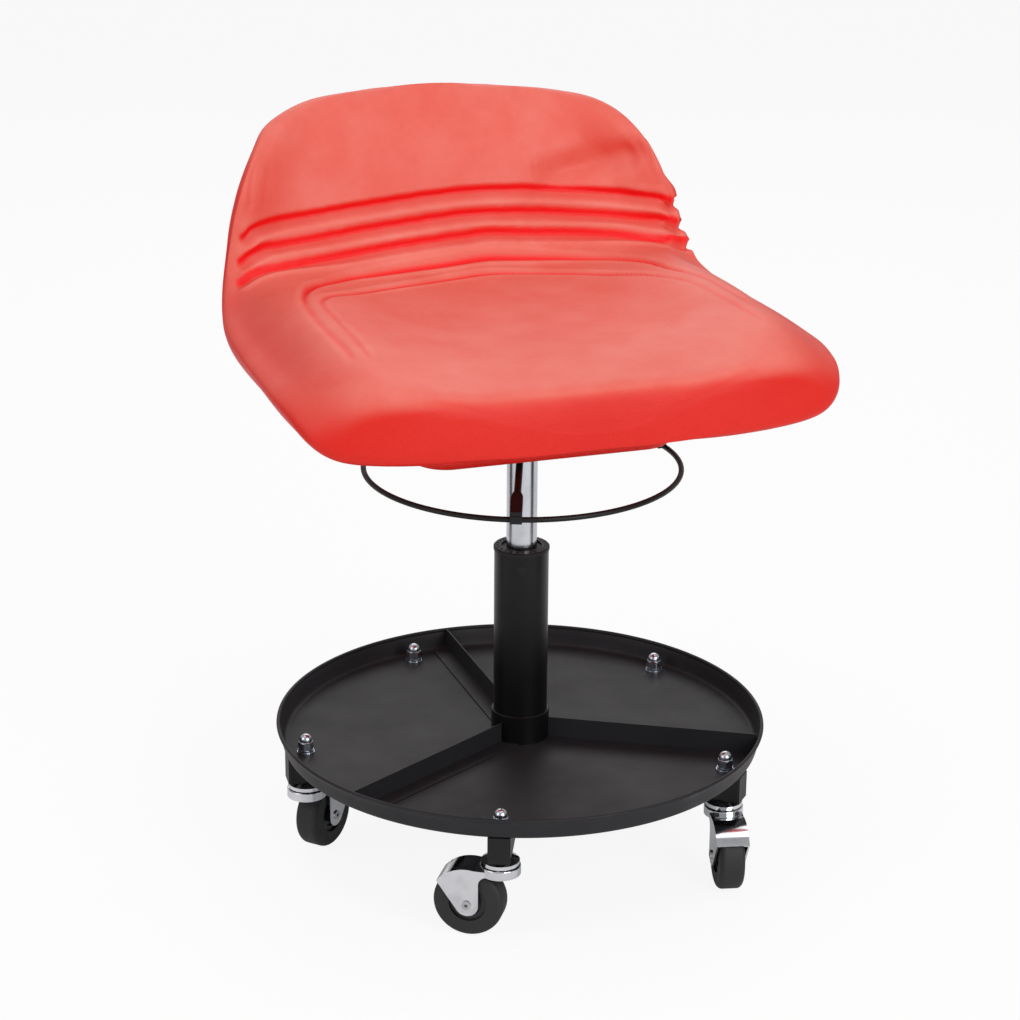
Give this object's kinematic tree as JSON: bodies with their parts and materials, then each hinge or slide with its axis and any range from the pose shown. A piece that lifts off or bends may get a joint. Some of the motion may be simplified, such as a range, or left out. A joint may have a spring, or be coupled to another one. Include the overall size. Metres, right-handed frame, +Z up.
{
  "type": "creeper seat",
  "caption": "Rolling workshop seat: moulded bucket seat on a height-adjustable column, with a release ring and a round divided tool tray on swivel casters.",
  "frame": {"origin": "on the floor under the middle of the column", "axes": "+Z up along the column; the sitter faces -Y, so the backrest is on the +Y side; +X is on the right when the seat is seen from its front"},
  "size_m": [0.5084, 0.5153, 0.6625],
  "materials": {
    "red_foam_skin": "satin self-skinned foam",
    "tray_powder_coat": "satin powder coat",
    "black_powder_coat": "semi-gloss powder coat",
    "chrome_plate": "bright plated",
    "zinc_steel": "zinc plated",
    "black_plastic": "satin moulded",
    "seal_plastic": "plain moulded",
    "black_wire_coat": "gloss dipped coat on steel",
    "wheel_plastic": "matt moulded",
    "black_rubber": "satin rubber"
  },
  "bodies": {
    "base": {"tray": "tray_powder_coat", "tray_dividers": "tray_powder_coat", "tray_washers": "chrome_plate", "tray_spring_washers": "chrome_plate", "tray_acorn_nuts": "chrome_plate", "hub_tube": "black_powder_coat", "leg_1": "black_powder_coat", "leg_2": "black_powder_coat", "leg_3": "black_powder_coat", "leg_4": "black_powder_coat", "leg_5": "black_powder_coat", "leg_end_caps": "black_plastic", "column_tube": "black_powder_coat", "column_bottom_plate": "zinc_steel", "guide_bush": "black_plastic", "thrust_lower_race": "zinc_steel", "thrust_balls": "zinc_steel", "caster_cups": "chrome_plate", "caster_stem_bolts": "chrome_plate", "caster_balls": "zinc_steel"},
    "rod": {"piston_rod": "zinc_steel", "gas_piston": "seal_plastic", "thrust_upper_race": "zinc_steel", "rod_bumper": "black_rubber", "rod_clip": "zinc_steel"},
    "seat": {"seat_cushion": "red_foam_skin", "stem_tube": "chrome_plate", "rod_guide": "seal_plastic", "valve_housing": "zinc_steel", "seat_mount": "black_wire_coat", "seat_plate": "zinc_steel", "fulcrum_pin": "zinc_steel", "seat_bolts": "zinc_steel", "seat_bolt_washers": "zinc_steel"},
    "release": {"release_lever": "black_wire_coat", "release_ring": "black_wire_coat", "release_arms": "black_wire_coat", "release_clips": "black_plastic"},
    "valve": {"valve_button": "zinc_steel"},
    "caster_fork_1": {"caster1_fork": "chrome_plate", "caster1_axle": "zinc_steel"},
    "caster_wheel_1": {"caster1_tyre": "black_rubber", "caster1_hub": "wheel_plastic"},
    "caster_fork_2": {"caster2_fork": "chrome_plate", "caster2_axle": "zinc_steel"},
    "caster_wheel_2": {"caster2_tyre": "black_rubber", "caster2_hub": "wheel_plastic"},
    "caster_fork_3": {"caster3_fork": "chrome_plate", "caster3_axle": "zinc_steel"},
    "caster_wheel_3": {"caster3_tyre": "black_rubber", "caster3_hub": "wheel_plastic"},
    "caster_fork_4": {"caster4_fork": "chrome_plate", "caster4_axle": "zinc_steel"},
    "caster_wheel_4": {"caster4_tyre": "black_rubber", "caster4_hub": "wheel_plastic"},
    "caster_fork_5": {"caster5_fork": "chrome_plate", "caster5_axle": "zinc_steel"},
    "caster_wheel_5": {"caster5_tyre": "black_rubber", "caster5_hub": "wheel_plastic"}
  },
  "joints": [
    {"name": "seat_swivel", "type": "hinge", "parent": "base", "child": "rod", "pos_m": [0, 0, 0.088], "axis": [0, 0, 1], "continuous": true},
    {"name": "seat_height", "type": "slide", "parent": "rod", "child": "seat", "axis": [0, 0, 1], "range_m": [-0.1, 0]},
    {"name": "release_tilt", "type": "hinge", "parent": "seat", "child": "release", "pos_m": [-0.01833, -0.04652, 0.4185], "axis": [-0.9304, 0.3665, 0], "range_deg": [0, 4], "stiffness_Nm_per_rad": 6, "springref_deg": -6.88},
    {"name": "valve_press", "type": "slide", "parent": "seat", "child": "valve", "axis": [0, 0, -1], "range_m": [0, 0.004]},
    {"name": "caster_swivel_1", "type": "hinge", "parent": "base", "child": "caster_fork_1", "pos_m": [-0.08236, -0.18499, 0.069], "axis": [0, 0, 1], "continuous": true},
    {"name": "wheel_roll_1", "type": "hinge", "parent": "caster_fork_1", "child": "caster_wheel_1", "pos_m": [-0.10501, -0.17029, 0.03175], "axis": [-0.5446, -0.8387, 0], "continuous": true},
    {"name": "caster_swivel_2", "type": "hinge", "parent": "base", "child": "caster_fork_2", "pos_m": [0.15049, -0.1355, 0.069], "axis": [0, 0, 1], "continuous": true},
    {"name": "wheel_roll_2", "type": "hinge", "parent": "caster_fork_2", "child": "caster_wheel_2", "pos_m": [0.14441, -0.16181, 0.03175], "axis": [0.9744, -0.225, 0], "continuous": true},
    {"name": "caster_swivel_3", "type": "hinge", "parent": "base", "child": "caster_fork_3", "pos_m": [0.17537, 0.10125, 0.069], "axis": [0, 0, 1], "continuous": true},
    {"name": "wheel_roll_3", "type": "hinge", "parent": "caster_fork_3", "child": "caster_wheel_3", "pos_m": [0.18236, 0.12733, 0.03175], "axis": [-0.9659, 0.2588, 0], "continuous": true},
    {"name": "caster_swivel_4", "type": "hinge", "parent": "base", "child": "caster_fork_4", "pos_m": [-0.0421, 0.19808, 0.069], "axis": [0, 0, 1], "continuous": true},
    {"name": "wheel_roll_4", "type": "hinge", "parent": "caster_fork_4", "child": "caster_wheel_4", "pos_m": [-0.06714, 0.20819, 0.03175], "axis": [-0.3746, -0.9272, 0], "continuous": true},
    {"name": "caster_swivel_5", "type": "hinge", "parent": "base", "child": "caster_fork_5", "pos_m": [-0.20139, 0.02117, 0.069], "axis": [0, 0, 1], "continuous": true},
    {"name": "wheel_roll_5", "type": "hinge", "parent": "caster_fork_5", "child": "caster_wheel_5", "pos_m": [-0.18133, 0.03923, 0.03175], "axis": [-0.6691, 0.7431, 0], "continuous": true}
  ],
  "couplings": [
    {"joint": "valve_press", "follows": "release_tilt", "m_per_rad": 0.05}
  ]
}
